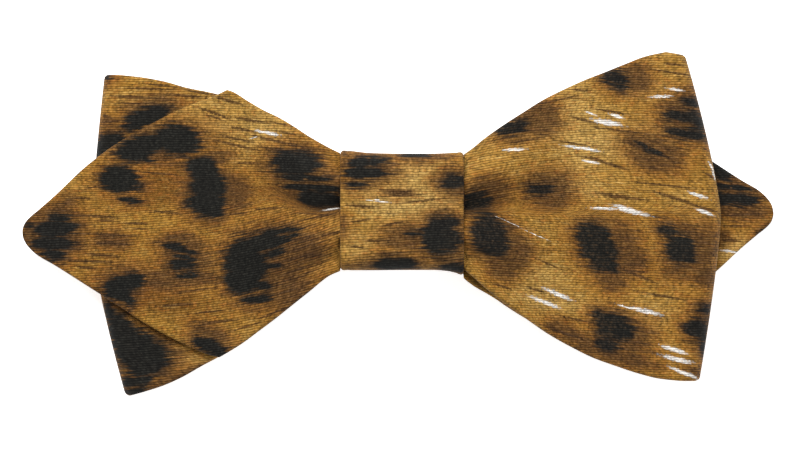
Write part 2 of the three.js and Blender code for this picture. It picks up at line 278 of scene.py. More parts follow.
# Steps of the strips' grids. RIM gives the places over a rounded rim, as shares of its radius.
ACROSS = 92
RIM = (0.0, 0.06, 0.257, 0.593)
RIM_RADIUS = 0.7
POINT_ROWS = 74
SHOULDER_ROWS = 34
WAIST_ROWS = 12
WALL_ROWS = 78
FOLD_ROWS = 18
HIDDEN_ROWS = 40
TIP_CROWDING = 1.5
SHIFT_START = 0.02


def across_places(half):
    """Places across a strip from -1 to 1 for each row's half width, close together round its rims."""
    half = np.asarray(half, float)[:, None]
    radius = np.minimum(RIM_RADIUS, 0.8 * half)
    rim = radius * np.asarray(RIM)[None, :] / half
    inner = 1 - radius / half
    middle = inner * np.linspace(-1, 1, ACROSS + 1)[None, :]
    t = np.concatenate([-1 + rim, middle, 1 - rim[:, ::-1]], axis=1)
    from_edge = np.clip((1 - np.abs(t)) * half / radius, 0, 1)
    rounding = np.sqrt(1 - (1 - from_edge) ** 2)
    return t, rounding * np.minimum(radius / RIM_RADIUS, 1)


def strip_rows(strip):
    """The middle of a strip's cloth, row after row from its tip to its hidden end, and where its fold is."""
    side = strip["point_side"]
    turned = side > 0
    shift = strip["shift"]
    run_layer, return_layer = strip["run_layer"], strip["return_layer"]
    loop_table = BACK_LOOP if turned else FRONT_LOOP
    shoulder_table = BACK_SHOULDER if turned else SHOULDER
    top_column, bottom_column = (2, 1) if turned else (1, 2)
    parts = []

    def add(top, bottom, place, fold=False):
        t, thick = across_places((top - bottom) / 2)
        x, y, z = place(t, top[:, None], bottom[:, None])
        parts.append(dict(thick=thick, x=x, y=y, z=z, fold=np.full(len(t), fold)))

    def add_on_layer(order, top, bottom, x_of):
        def place(t, top, bottom):
            x = x_of(t)
            y = lerp(bottom, top, (t + 1) / 2)
            return x, y, layer_height(order, x, y)
        add(top, bottom, place)

    # Point, from the tip to its widest line
    at = 1 - np.linspace(0, 1, POINT_ROWS) ** TIP_CROWDING
    top = lerp(strip["tip_height"], strip["point_rise"] + shift, column(POINT, top_column, at))
    bottom = lerp(strip["tip_height"], shift - strip["point_drop"], column(POINT, bottom_column, at))
    reach = lerp(strip["widest_reach"], strip["point_reach"], at)[:, None]
    lean = LEAN * (1 - at)[:, None] * -side
    add_on_layer(run_layer, top, bottom, lambda t: side * (reach - lean * t))

    # Shoulder, from there to the band
    at_shoulder = np.linspace(1, 0, SHOULDER_ROWS + 1)[1:]
    rise = lerp(waist_half, strip["point_rise"], column(shoulder_table, top_column, at_shoulder))
    drop = lerp(waist_half, strip["point_drop"], column(shoulder_table, bottom_column, at_shoulder))
    shifted = shift * smoothstep(at_shoulder, 0.0, SHIFT_START)
    shoulder_reach = lerp(flare_start, strip["widest_reach"], at_shoulder)[:, None]
    shoulder_lean = LEAN * at_shoulder[:, None] * -side
    top, bottom = rise + shifted, shifted - drop
    add_on_layer(run_layer, top, bottom, lambda t: side * (shoulder_reach - shoulder_lean * t))

    def waist(order, start, end):
        xs = np.linspace(start, end, WAIST_ROWS)
        level = np.full(WAIST_ROWS, waist_half)
        add_on_layer(order, level, -level, lambda t: np.repeat(xs[:, None], t.shape[1], axis=1))

    def fold_start(t):
        corner = np.where(t > 0, strip["top_corner"], strip["bottom_corner"])
        return lerp(strip["loop_reach"], corner, np.abs(t) ** FOLD_CURVE) - strip["fold_reach"] - CLOTH / 2

    def wall(order, shares):
        top = lerp(waist_half, strip["loop_rise"], column(loop_table, 1, shares))
        bottom = -lerp(waist_half, strip["loop_drop"], column(loop_table, 2, shares))
        share = shares[:, None]
        add_on_layer(order, top, bottom, lambda t: -side * lerp(flare_start, fold_start(t), share))

    # Through the band, out to the fold, round it, and back into the band
    waist(run_layer, side * band_edge, -side * band_edge)
    wall(run_layer, np.linspace(0, 1, WALL_ROWS))

    turn = (np.pi * np.arange(1, FOLD_ROWS) / FOLD_ROWS)[:, None]
    last_row = parts[-1]["y"][-1]

    def folded(t, top, bottom):
        x = -side * fold_start(t)
        y = lerp(bottom, top, (t + 1) / 2)
        start = layer_height(run_layer, x, y)
        end = layer_height(return_layer, x, y)
        bulge = strip["fold_reach"] * np.sin(turn)
        spread = np.where(t > 0, strip["corner_rise"], strip["corner_drop"]) * np.sin(turn) * t
        return x - side * bulge, y + spread, lerp(start, end, (1 - np.cos(turn)) / 2)

    same = np.ones(FOLD_ROWS - 1)
    add(same * last_row.max(), same * last_row.min(), folded, fold=True)
    wall(return_layer, np.linspace(1, 0, WALL_ROWS if turned else HIDDEN_ROWS))
    waist(return_layer, -side * band_edge, side * (band_edge - TUCK))
    return {key: np.concatenate([part[key] for part in parts]) for key in parts[0]}


def along_lengths(x, z):
    """How far each place is along the strip, over the cloth."""
    steps = np.hypot(np.diff(x, axis=0), np.diff(z, axis=0))
    return np.concatenate([np.zeros((1, x.shape[1])), np.cumsum(steps, axis=0)])


# The print's chart counts in sixths of a millimetre from its top left corner, and the knot's middle is here
CHART_MIDDLE = (402.0, 211.0)
CHART_STEP = 6.0
# The print of a piece's other face is read this far along
BACK_OF_CLOTH = 400.0


def chart_place(x, y):
    """A place of the chart in millimetres from the middle of the knot."""
    return (x - CHART_MIDDLE[0]) / CHART_STEP, (CHART_MIDDLE[1] - y) / CHART_STEP


# Dark spots: place, half length, half height, tilt in degrees up to the right, and brown margin
LEFT_FRONT_SPOTS = (
    (178, 140, 23, 15, -14, 5), (141, 147, 27, 11, 14, 4), (134, 154, 17, 8, -8, 3),
    (147, 160, 9, 2.6, -6, 3), (119, 180, 20, 13.5, -3, 3), (137, 187, 9, 2.4, -4, 3),
    (131, 200.5, 13, 2.6, -6, 2), (56, 229, 21, 9, 4, 9), (60, 218.5, 12, 4.6, 0, 8),
    (53, 243, 22, 7, -2, 7), (55, 254, 11, 4.6, 0, 6), (30, 226, 6, 3.4, 0, 6), (180, 249, 20, 2.6, -13, 5),
    (172, 245, 9, 3, 0, 4), (186, 257, 12, 1.6, -6, 5), (183, 265, 14, 6, -3, 5), (188, 275, 13, 2.2, 6, 4),
    (203, 170, 16, 13, -18, 5), (209, 187, 18, 14, 0, 9), (207, 202, 19, 14, -8, 6),
    (214, 211, 10, 5, -20, 5), (192, 203, 8, 4, 0, 5), (297, 163, 24, 13.5, -4, 6), (309, 178, 26, 3, -3, 8),
    (314, 188, 30, 3.6, -4, 9), (322, 199, 22, 9, -6, 6), (258, 246, 30, 11, 22, 6),
    (247, 262, 23, 25, 15, 6), (244, 279, 19, 16, -8, 6), (270, 267, 18, 3, 7, 5), (258, 285, 16, 4, -4, 5),
    (281, 231.5, 22, 3, 9, 5), (292, 236, 11, 1.6, 8, 4), (276, 243, 20, 2.6, 12, 4),
    (272, 255, 16, 2.4, 12, 4), (281, 250, 10, 1.2, 12, 4), (258, 299, 18, 4.2, 5, 5),
    (125, 283, 21, 10, 16, 5), (119, 292, 14, 10, -28, 5), (128, 300, 8, 6, -50, 4),
    (210, 346, 18, 8, -24, 5),
)
LEFT_BACK_SPOTS = (
    (148, 116, 26, 9, 19, 3), (135, 125, 13, 6, 14, 3), (108, 146, 20, 11, 35, 3), (100, 152, 10, 9, 40, 3),
    (140, 351, 31, 20, -24, 4), (122, 332, 18, 13, -65, 4), (146, 368, 18, 9, 10, 5),
    (136, 381, 18, 5, 8, 6), (136, 392, 10, 5, 10, 5), (110, 312, 8, 6, -70, 5), (108, 77, 4, 3, -20, 2),
)
RIGHT_FRONT_SPOTS = (
    (511, 128, 16, 7.5, 14, 5), (615, 78, 13, 7.5, -14, 4), (621, 86, 7, 4, -10, 4),
    # The spots at 476, 203 and 474, 196 lie in the crease beside the knot: print, made darker as painted
    # shade in the crease
    (538, 189, 13, 6.5, -2, 7), (476, 203, 16, 7, 8, 6), (474, 196, 12, 6, 12, 6),
    (483, 228, 12, 15, -25, 3), (492, 243, 16, 14, -35, 4), (488, 236, 15, 17, -50, 4),
    (594, 238, 19, 15, -20, 5), (602, 254, 15, 16, -35, 5), (610, 266, 8, 5, -40, 4),
    (590, 250, 13, 10, -30, 5), (667, 231, 10, 6, -22, 4), (680, 248, 14, 15, -42, 6),
    (687, 257, 8, 6, -30, 5), (615, 327, 20, 13, -20, 5), (607, 345, 12, 7, -16, 5),
    (600, 316, 9, 5, -25, 4), (697, 329, 14, 10, -38, 4), (703, 342, 7, 12, 0, 4), (703, 311, 7, 4, -20, 6),
    (689, 103, 11, 5, -12, 6), (683, 116.5, 20, 6.5, -6, 6), (697, 123, 10, 7, -10, 6),
    (686, 134, 21, 4.6, -10, 6), (648, 148, 18, 2.4, -27, 8),
)
RIGHT_BACK_SPOTS = (
    (722, 170, 13, 9, -30, 5), (738, 199, 23, 6.5, -2, 6), (732, 187, 20, 3, -6, 6), (718, 199, 12, 9, 0, 5),
)
KNOT_SPOTS = (
    (369, 162.5, 21, 4.4, 2, 5), (366, 173.5, 21, 6.6, 2, 5), (358, 184.5, 10, 1.8, 3, 4),
    (453, 183, 12, 7.5, 0, 7), (442, 224, 16, 8, 4, 5), (442, 241, 20, 13.5, 0, 6), (437, 234, 17, 10, 0, 6),
    (416, 234, 12, 2.4, 0, 6), (416, 155, 16, 3.2, 0, 6), (395, 264, 23, 7.5, 3, 6),
    (454, 267, 14, 6, -6, 7),
)
# Brown patches without a dark middle: place, half length, half height, tilt
LEFT_FRONT_BROWN = (
    (50, 232, 36, 26, 8), (62, 208, 15, 9, 30), (112, 240, 20, 8, -4), (183, 240, 23, 7, -6),
    (187, 262, 27, 22, 0), (230, 188, 20, 16, 0), (236, 202, 14, 11, 0), (238, 184, 18, 8, -35),
    (312, 185, 38, 20, -3), (272, 262, 46, 38, 16), (290, 290, 26, 18, 30), (178, 278, 46, 11, 4),
    (212, 334, 24, 9, -24), (207, 160, 26, 9, 10), (300, 250, 30, 20, 20), (160, 143, 50, 22, 4),
    (122, 286, 28, 18, 5), (297, 164, 32, 20, 0),
)
LEFT_BACK_BROWN = (
    (110, 143, 26, 16, 32), (108, 77, 5, 6, 60), (110, 121, 10, 2.2, 0), (150, 112, 31, 15, 16),
    (118, 314, 14, 16, -50), (178, 378, 36, 6, 22), (146, 397, 18, 7, 10), (146, 356, 38, 30, -22),
)
RIGHT_FRONT_BROWN = (
    (536, 119, 23, 19, 20), (634, 79, 18, 16, 0), (548, 190, 26, 19, 4), (484, 194, 26, 16, 10),
    (508, 252, 22, 20, -38), (500, 268, 16, 10, -30), (494, 238, 22, 22, -30), (612, 252, 26, 30, -20),
    (598, 240, 26, 20, -10), (634, 262, 12, 16, -50), (612, 280, 14, 10, -10), (688, 250, 26, 30, -38),
    (703, 275, 12, 12, -30), (622, 334, 30, 22, -14), (700, 314, 12, 12, -10), (700, 332, 16, 18, 0),
    (563, 331, 20, 8, -26), (590, 345, 36, 9, -24), (622, 357, 36, 8, -14), (653, 152, 30, 19, -20),
    (685, 118, 30, 25, -8), (693, 371, 9, 4, -25),
)
RIGHT_BACK_BROWN = ((738, 184, 36, 26, -22), (745, 210, 30, 10, 0), (722, 238, 10, 7, 0))
KNOT_BROWN = (
    (373, 169, 27, 15, 4), (425, 158, 26, 5, 0), (398, 193, 14, 2.5, 4), (416, 236, 34, 14, 6),
    (392, 263, 38, 8, 2), (448, 257, 18, 10, 0), (447, 182, 15, 8, 0), (345, 160, 4, 14, 0),
    (344, 226, 3, 9, 0),
)
# Broad drifts of the ground, partly the print's own and partly painted light: lighter upper parts and knot,
# painted shade above the creases beside the knot and lighter folds below them.
# Place, half length, half height, and how much lighter or deeper the gold is
FRONT_TONES_AND_LIGHT = (
    (255, 130, 50, 24, 0.7), (215, 105, 28, 14, 0.35), (240, 178, 26, 26, -0.45), (275, 203, 42, 14, -0.55),
    (163, 184, 34, 28, -1.35), (130, 262, 36, 24, -0.45), (190, 292, 50, 24, -0.6), (160, 305, 28, 16, -0.7),
    (312, 226, 30, 14, 0.45), (322, 258, 22, 16, 0.25), (90, 205, 34, 14, -0.25), (235, 314, 44, 16, -0.45),
    (580, 115, 50, 28, 0.6), (500, 160, 44, 20, 0.3), (615, 150, 40, 16, 0.3), (530, 228, 30, 22, 0.35),
    (530, 300, 34, 20, 0.4), (655, 322, 26, 26, 0.5), (660, 95, 34, 24, 0.45), (690, 195, 30, 22, 0.3),
    (632, 262, 18, 22, -0.6), (540, 205, 44, 10, -0.5), (600, 282, 44, 14, -0.2), (610, 352, 56, 12, -0.4),
    (690, 280, 28, 16, -0.25), (545, 268, 34, 16, 0.25), (725, 215, 24, 200, -0.1), (56, 234, 42, 32, -0.9),
    (122, 290, 30, 14, -0.5), (285, 262, 30, 24, -0.4),
)
BACK_TONES_AND_LIGHT = (
    (150, 98, 50, 13, 0.5), (108, 122, 16, 16, -0.45), (195, 366, 30, 14, 0.2), (745, 222, 34, 14, -0.4),
    (735, 250, 28, 12, 0.5), (120, 312, 16, 12, -0.3),
)
KNOT_TONES_AND_LIGHT = (
    (400, 205, 60, 24, 1.1), (405, 170, 34, 10, 0.6), (360, 248, 30, 20, 0.8), (440, 200, 26, 16, 0.4),
)
# Brown hairs: start, end, and half width
LEFT_FRONT_HAIRS = (
    (202, 109, 231, 119.5, 1.3), (207, 115, 225, 121, 0.9), (240, 118.5, 268, 123, 1.3),
    (276, 123, 291, 126, 0.9), (231, 126.5, 256, 132, 1.1), (281, 132, 300, 135.5, 0.9),
    (223, 136, 253, 142, 1.2), (256, 136, 286, 143.5, 1.2), (220, 141.5, 256, 149.5, 1.2),
    (262, 147, 290, 152, 0.8), (216, 97, 242, 104.5, 1.4), (152, 211, 181, 213.5, 1.1),
    (71, 197.5, 92, 199, 1.1), (87, 215.5, 113, 217.5, 1.4), (99, 220.5, 114, 220.7, 1.0),
    (153, 212, 176, 211, 0.9), (94, 234, 131, 235.6, 1.2), (96, 243, 125, 244, 1.3),
    (87, 254, 114, 256, 1.4), (66, 260.5, 114, 262, 1.1), (79, 267, 94, 268.3, 1.2),
    (124, 223, 147, 224, 0.9), (132, 228.5, 148, 229, 0.8), (162, 306, 191, 303.6, 1.2),
    (195, 312.8, 222, 310.3, 1.0), (205, 322.8, 237, 319.4, 1.2), (303, 257, 326, 254, 1.2),
    (322, 236, 341, 231.5, 1.6), (236, 163, 262, 163.5, 0.7), (140, 172, 176, 175, 0.8),
    (100, 186, 86, 189, 0.7), (250, 210, 285, 207.5, 0.8), (130, 315, 120, 309, 0.9),
    (236, 330, 262, 322, 0.8), (262, 318, 300, 303, 0.9), (180, 292, 212, 288, 0.8),
    (222, 215, 250, 212, 0.9), (60, 248, 84, 249, 0.8), (298, 213, 330, 215, 0.7),
    (296, 222, 338, 213.5, 0.8), (284, 243, 316, 235, 0.8), (286, 253, 312, 246, 0.9),
    (282, 262, 318, 252, 0.7), (284, 274, 312, 266, 0.9), (278, 283, 302, 277, 0.8),
    (282, 293, 304, 287, 0.7), (296, 244, 322, 238, 0.6),
)
LEFT_BACK_HAIRS = (
    (130, 88, 171, 89.5, 1.1), (115, 96, 141, 97.4, 1.3), (174, 94.5, 202, 97.4, 1.2),
    (104, 121.5, 121, 121, 1.2), (104, 115, 112, 117, 1.2), (148, 84, 176, 87, 0.9),
    (120, 103, 140, 104, 0.9), (186, 90, 214, 95, 0.9),
)
RIGHT_FRONT_HAIRS = (
    (574, 118, 597, 123.5, 1.2), (598, 109.5, 624, 114.5, 1.0), (584, 157, 603, 161, 1.4),
    (600, 161, 624, 169, 1.4), (597, 193, 640, 199.5, 1.5), (607, 195.5, 628, 197.5, 2.2),
    (572, 89.5, 589, 91, 0.9), (657, 193, 687, 202, 1.4), (686, 203, 716, 212.5, 1.2),
    (704, 174, 714, 179, 1.0), (639, 213.5, 660, 218, 1.0), (665, 64, 680, 65.5, 1.1),
    (643, 292.5, 680, 299, 1.1), (618, 267.5, 653, 282, 1.4), (493, 283.5, 509, 289, 1.0),
    (525, 287, 542, 291.6, 1.1), (593, 307.5, 606, 312, 1.1), (604, 313, 635, 321, 1.3),
    (540, 324.6, 578, 338, 1.4), (647, 349.5, 669, 358.6, 1.0), (650, 311.5, 664, 316.8, 1.0),
    (622, 142, 648, 149.5, 1.3), (645, 149, 667, 157.5, 1.3), (598, 128, 640, 133, 0.8),
    (540, 104, 575, 96, 0.8), (556, 141, 588, 146, 0.7), (640, 183, 690, 188, 0.8),
    (535, 259, 556, 268, 0.7), (560, 316, 590, 322, 0.8), (654, 70, 690, 76, 0.8), (700, 148, 708, 151, 0.8),
    (511, 143, 534, 139, 0.7),
)
RIGHT_BACK_HAIRS = (
    (734, 184, 758, 190, 0.9), (722, 216, 760, 214, 0.8), (722, 226, 750, 226, 0.8),
    (722, 240, 740, 241, 1.4),
)
KNOT_HAIRS = (
    (350, 205.5, 376, 207.3, 1.5), (365, 240.4, 381, 241, 1.0), (383, 190.5, 414, 194, 1.6),
    (386, 196.5, 420, 195, 0.8), (352, 222, 372, 219, 0.9), (350, 246, 366, 248, 0.8),
    (404, 203, 440, 199, 0.8), (382, 226, 402, 222, 0.9),
)
# White hairs: start, end, and half width. A few lie along folds as painted highlights
LEFT_FRONT_WHITE = (
    (257, 130.5, 268, 133, 1.1), (264, 132, 281, 135.5, 1.4), (252, 139, 259, 137, 0.5),
    # The next hair lies along the fold edge of the crease beside the knot: a painted highlight
    (325, 210.4, 340.5, 208.2, 0.9),
)
RIGHT_FRONT_WHITE = (
    (505, 150.5, 522, 149.5, 1.3), (562, 145.5, 584, 149, 1.2), (578, 147.5, 598, 151, 1.3),
    (583, 160.5, 598, 163.5, 1.2), (594, 120.5, 620, 125, 2.2), (610, 114.5, 623, 118.5, 1.5),
    (593, 208, 618, 209, 1.2), (612, 206, 646, 215, 2.1), (543, 288.5, 568, 299, 1.9),
    (529, 296.5, 557, 307.5, 1.7), (618, 304.5, 634, 309, 0.9), (632, 308, 657, 314, 1.9),
    (663, 346, 684, 352.5, 1.9), (662, 355.5, 688, 362, 1.9), (671, 367.5, 697, 379, 1.6),
    (688, 192, 704, 198, 1.5), (696, 209, 711, 215.5, 1.5), (651, 97, 669, 96.5, 1.3),
    (667, 88.5, 681, 91, 1.3), (586, 112, 596, 115.5, 0.9), (707, 163, 717, 172, 1.8),
    # The last two hairs on the next line follow the pressed fold line over the right wing: a painted
    # highlight along it
    (712, 170, 718, 180, 2.2), (494, 217, 522, 229.5, 0.22), (519, 229, 545, 240, 0.3),
)
RIGHT_BACK_WHITE = ((723, 250.5, 739, 252.5, 1.2),)
KNOT_WHITE = ((369, 200.5, 388, 202.5, 0.6), (374, 199.8, 380, 200.3, 0.5))


# Cloth that the chart doesn't reach: the ends of its stretches along a strip, and its rows of spots
HIDDEN_END = 200
SPOTS_CHARTED = 64
HAIRS_CHARTED = 66
SCATTER_ROWS = (-26, -14, -2, 10, 22)
SCATTER_STEP = 13.0
SCATTER_SHIFT = 3
HIDDEN_SEED = 3


def hidden_stretches(charted_to):
    """The stretches along a strip beyond the chart, and the whole of its other face."""
    back_start, back_end = BACK_OF_CLOTH - HIDDEN_END, BACK_OF_CLOTH + HIDDEN_END
    return (-HIDDEN_END, -charted_to), (charted_to, HIDDEN_END), (back_start, back_end)


def scattered_spots(start, end, seed):
    """Spots and brown patches for a stretch that the chart doesn't reach, in millimetres."""
    place = random.Random(seed)
    shift = SCATTER_SHIFT
    spots, browns = [], []
    row = 0
    x = start
    while x < end:
        for y in SCATTER_ROWS:
            at = (x + place.uniform(-shift, shift) + (6 if row % 2 else 0), y + place.uniform(-shift, shift))
            size = place.uniform(0.7, 1.15)
            spots.append((*at, 3.3 * size, 2.2 * size, math.radians(place.uniform(-30, 30)), 0.7))
            spots.append((at[0] + 2.2 * size, at[1] - 1.6 * size, 1.8 * size, 1.3, 0.2, 0.6))
            browns.append((at[0] + place.uniform(-1, 3), at[1], 4.6 * size, 3.4 * size, 0.1))
            browns.append((at[0] + 7, at[1] + 5, 2.4, 0.3, place.uniform(-0.2, 0.2)))
        x += SCATTER_STEP
        row += 1
    return spots, browns


def charted(table):
    """Chart rows as places, half sizes, turns and any margins in millimetres."""
    made = []
    for x, y, length, height, tilt, *margin in table:
        sizes = length / CHART_STEP, height / CHART_STEP
        made.append((*chart_place(x, y), *sizes, math.radians(tilt), *[m / CHART_STEP for m in margin]))
    return made


def charted_hairs(table):
    """Chart rows of hairs as middle, half length, half width and turn in millimetres."""
    made = []
    for x0, y0, x1, y1, half_width in table:
        ax, ay = chart_place(x0, y0)
        bx, by = chart_place(x1, y1)
        half_length = math.hypot(bx - ax, by - ay) / 2
        turn = math.atan2(by - ay, bx - ax)
        made.append(((ax + bx) / 2, (ay + by) / 2, half_length, half_width / CHART_STEP, turn))
    return made


def hair_maps(browns, whites, seed):
    """The charted hairs, with more of the same strewn over the cloth that the chart doesn't reach."""
    place = random.Random(seed)
    brown, white = charted_hairs(browns), charted_hairs(whites)
    for start, end in hidden_stretches(HAIRS_CHARTED):
        for _ in range(int((end - start) * 0.9)):
            at = (place.uniform(start, end), place.uniform(-31, 29))
            half_length, half_width = place.uniform(1.2, 3.2), place.uniform(0.12, 0.24)
            brown.append((*at, half_length, half_width, place.uniform(-0.2, 0.1)))
        for _ in range(int((end - start) * 0.12)):
            at = (place.uniform(start, end), place.uniform(-31, 29))
            half_length, half_width = place.uniform(1.2, 2.6), place.uniform(0.16, 0.3)
            white.append((*at, half_length, half_width, place.uniform(-0.25, 0.05)))
    return {"brown_hairs": brown, "white_hairs": white}


def along_and_across(x, y, px, py, turn):
    """Places as seen from a shape that lies at px, py and is turned."""
    dx, dy = x - px, y - py
    return dx * np.cos(turn) + dy * np.sin(turn), dy * np.cos(turn) - dx * np.sin(turn)


# Depths in millimetres, positive inside a spot
FAR_OUTSIDE = -9.0
DEPTH_REACH = 3.0
# How much of its charted margin the brown round a spot takes
MARGIN = 1.15


def depth_in(shapes, x, y):
    """How deep a place lies inside the nearest of the ellipses; outside it is negative."""
    deepest = np.full(x.shape, FAR_OUTSIDE)
    for px, py, length, height, turn, *_ in shapes:
        along, across = along_and_across(x, y, px, py, turn)
        ratio = np.maximum(np.hypot(along / length, across / height), 0.05)
        reach = np.hypot(along, across) / ratio
        deepest = np.maximum(deepest, np.minimum(reach, DEPTH_REACH) * (1 - ratio))
    return deepest


def print_depths(spots, browns, x, y):
    """How deep places lie in the dark spots, and in the brown round them and beside them."""
    grown = [(px, py, a + MARGIN * m, b + MARGIN * m, turn) for px, py, a, b, turn, m in spots]
    return depth_in(spots, x, y), np.maximum(depth_in(grown, x, y), depth_in(browns, x, y))


def tone_and_light_at(tones_and_light, x, y):
    """How much lighter (above 0) or deeper (below 0) the ground's gold is at a place, from the print's drifts
    and from painted light and shade.
    """
    total = np.zeros(x.shape)
    for px, py, length, height, strength in tones_and_light:
        dx, dy = chart_place(px, py)
        away = ((x - dx) / (length / CHART_STEP)) ** 2 + ((y - dy) / (height / CHART_STEP)) ** 2
        total += strength * np.exp(-away)
    return total


# How the rows of the weave tilt at the band, above and below the crease, and how far out that reaches
LEFT_TILT = (-0.08, 0.40)
RIGHT_TILT = (0.27, -0.07)
TILT_RUN = 11.0
LOWER_LEFT_TILT_RUN = 19.0
# Over the right wing the printed hairs fall away, from where and how steeply
FALL_START = 16
FALL = 0.17


def row_lines(x, y):
    """The height of the weave's row at a place. Rows tilt towards the knot, most at the lower left."""
    out = np.maximum(np.abs(x) - band_edge, 0)
    near = TILT_RUN * np.exp(-out / TILT_RUN)
    far = LOWER_LEFT_TILT_RUN * np.exp(-out / LOWER_LEFT_TILT_RUN)
    blur = 0.3 + 0.12 * out
    below = smoothstep(crease_height(x) - y, -blur, blur)
    left = y - lerp(LEFT_TILT[0] * near, LEFT_TILT[1] * far, below)
    right = y + lerp(RIGHT_TILT[0], RIGHT_TILT[1], below) * near
    return np.where(out > 0, np.where(x < 0, left, right), y)


def hair_lines(x, y):
    """The hairs of the print run with the rows, and fall away to the right over the right wing."""
    past = np.maximum(x - FALL_START, 0)
    return row_lines(x, y) + FALL * past ** 2 / (past + 9) + 0.5 * np.sin(x / 9 + y / 7)


def beside_hairs(hairs, x, y, face):
    """Where each corner lies beside the hair nearest to its face: along and across, 1 at its outline."""
    count = np.bincount(face)
    middle_x = np.bincount(face, x) / count
    middle_y = np.bincount(face, y) / count

    def beside(px, py, hx, hy, length, width, turn):
        along, across = along_and_across(px, py, hx, hy, turn)
        return along / length, across / width

    nearest = np.full(middle_x.shape, np.inf)
    chosen = np.zeros(middle_x.shape, int)
    for number, hair in enumerate(hairs):
        away = np.hypot(*beside(middle_x, middle_y, *hair))
        chosen = np.where(away < nearest, number, chosen)
        nearest = np.minimum(nearest, away)
    return np.stack(beside(x, y, *np.asarray(hairs)[chosen[face]].T), axis=1)


# The dark print is thinner on the right wing: where that starts, is full, starts to end, and ends
THIN_PRINT = (4.0, 14.0, 42.0, 52.0)


def maps_of(prints, weave, hair, spots, browns, tones_and_light):
    """UV maps for both faces of a piece from their print places, its weave and its lines of hair."""
    made = {"print": [], "hair": [], "weave": [], "spots": [], "tones_and_light": []}
    for px, py in prints:
        made["print"].append(np.stack([px, py], axis=2))
        made["hair"].append(np.stack([px, hair], axis=2))
        made["weave"].append(np.stack(weave, axis=2))
        made["spots"].append(np.stack(print_depths(spots, browns, px, py), axis=2))
        thin = smoothstep(px, *THIN_PRINT[:2]) - smoothstep(px, *THIN_PRINT[2:])
        made["tones_and_light"].append(np.stack([tone_and_light_at(tones_and_light, px, py), thin], axis=2))
    return made


def shell_faces(rows, count, closed):
    """A shell's faces, with the row and the place across of their corners, and whether they are in front."""
    size = 2 * count - 2
    slots = np.arange(size)
    place_of = np.where(slots < count, slots, size - slots)
    i, k = np.meshgrid(np.arange(rows if closed else rows - 1), slots, indexing="ij")
    i, k = i.ravel(), k.ravel()
    next_i, next_k = (i + 1) % rows, (k + 1) % size
    row = np.stack([i, i, next_i, next_i], axis=1)
    slot = np.stack([k, next_k, next_k, k], axis=1)
    patches = [(row, slot, k >= count - 1)]
    if not closed:
        j = np.arange(count - 1)
        cap = np.stack([j, (size - j) % size, (size - j - 1) % size, j + 1], axis=1)
        behind = np.zeros(len(j), bool)
        patches.append((np.zeros_like(cap), cap, behind))
        patches.append((np.full_like(cap, rows - 1), cap[:, ::-1], behind))
    row, slot, in_front = (np.concatenate([patch[n] for patch in patches]) for n in range(3))
    return row * size + slot, row, place_of[slot], in_front


def cloth_shell(name, middle, normal, thick, maps, hairs, closed=False):
    """A closed shell of cloth: rows of places, each row's front and back joined at its two rims.

    thick is half the cloth's thickness at each place, maps gives the UV maps of the back (0) and of the front
    (1) as arrays of rows by places by two, and hairs the printed hairs that each hair map draws.
    """
    rows, count = thick.shape
    half = thick[:, :, None] * normal
    rings = np.concatenate([middle - half, (middle + half)[:, -2:0:-1]], axis=1)
    points = rings.reshape(-1, 3) * MM
    faces, row_of, place_of, in_front = shell_faces(rows, count, closed)

    # Faces turn outwards: they are turned round where the shell's volume comes out negative.
    a, b, c, d = (points[faces[:, n]] for n in range(4))
    volume = (np.einsum("ij,ij->i", a, np.cross(b, c)) + np.einsum("ij,ij->i", a, np.cross(c, d))).sum()
    if volume < 0:
        faces, row_of, place_of = faces[:, ::-1], row_of[:, ::-1], place_of[:, ::-1]

    # At the rims two corners of a face can meet, and one of them is left out.
    polygons = [[face[n] for n in range(4) if face[n] != face[n - 1]] for face in faces.tolist()]
    kept, corners = np.nonzero(faces != np.roll(faces, 1, axis=1))
    mesh = bpy.data.meshes.new(name)
    mesh.from_pydata(points.tolist(), [], polygons)

    def keep(map_name, places):
        mesh.uv_layers.new(name=map_name).data.foreach_set("uv", places.astype(np.float32).ravel())

    row, place = row_of[kept, corners], place_of[kept, corners]
    shown = {}
    for map_name, (back_map, front_map) in maps.items():
        shown[map_name] = np.where(in_front[kept, None], front_map[row, place], back_map[row, place])
        if map_name != "print":
            keep(map_name, shown[map_name])
    for map_name, lines in hairs.items():
        keep(map_name, beside_hairs(lines, shown["print"][:, 0], shown["print"][:, 1], kept))
    mesh.polygons.foreach_set("use_smooth", [True] * len(mesh.polygons))
    mesh.update()
    piece = bpy.data.objects.new(name, mesh)
    bpy.context.collection.objects.link(piece)
    return piece


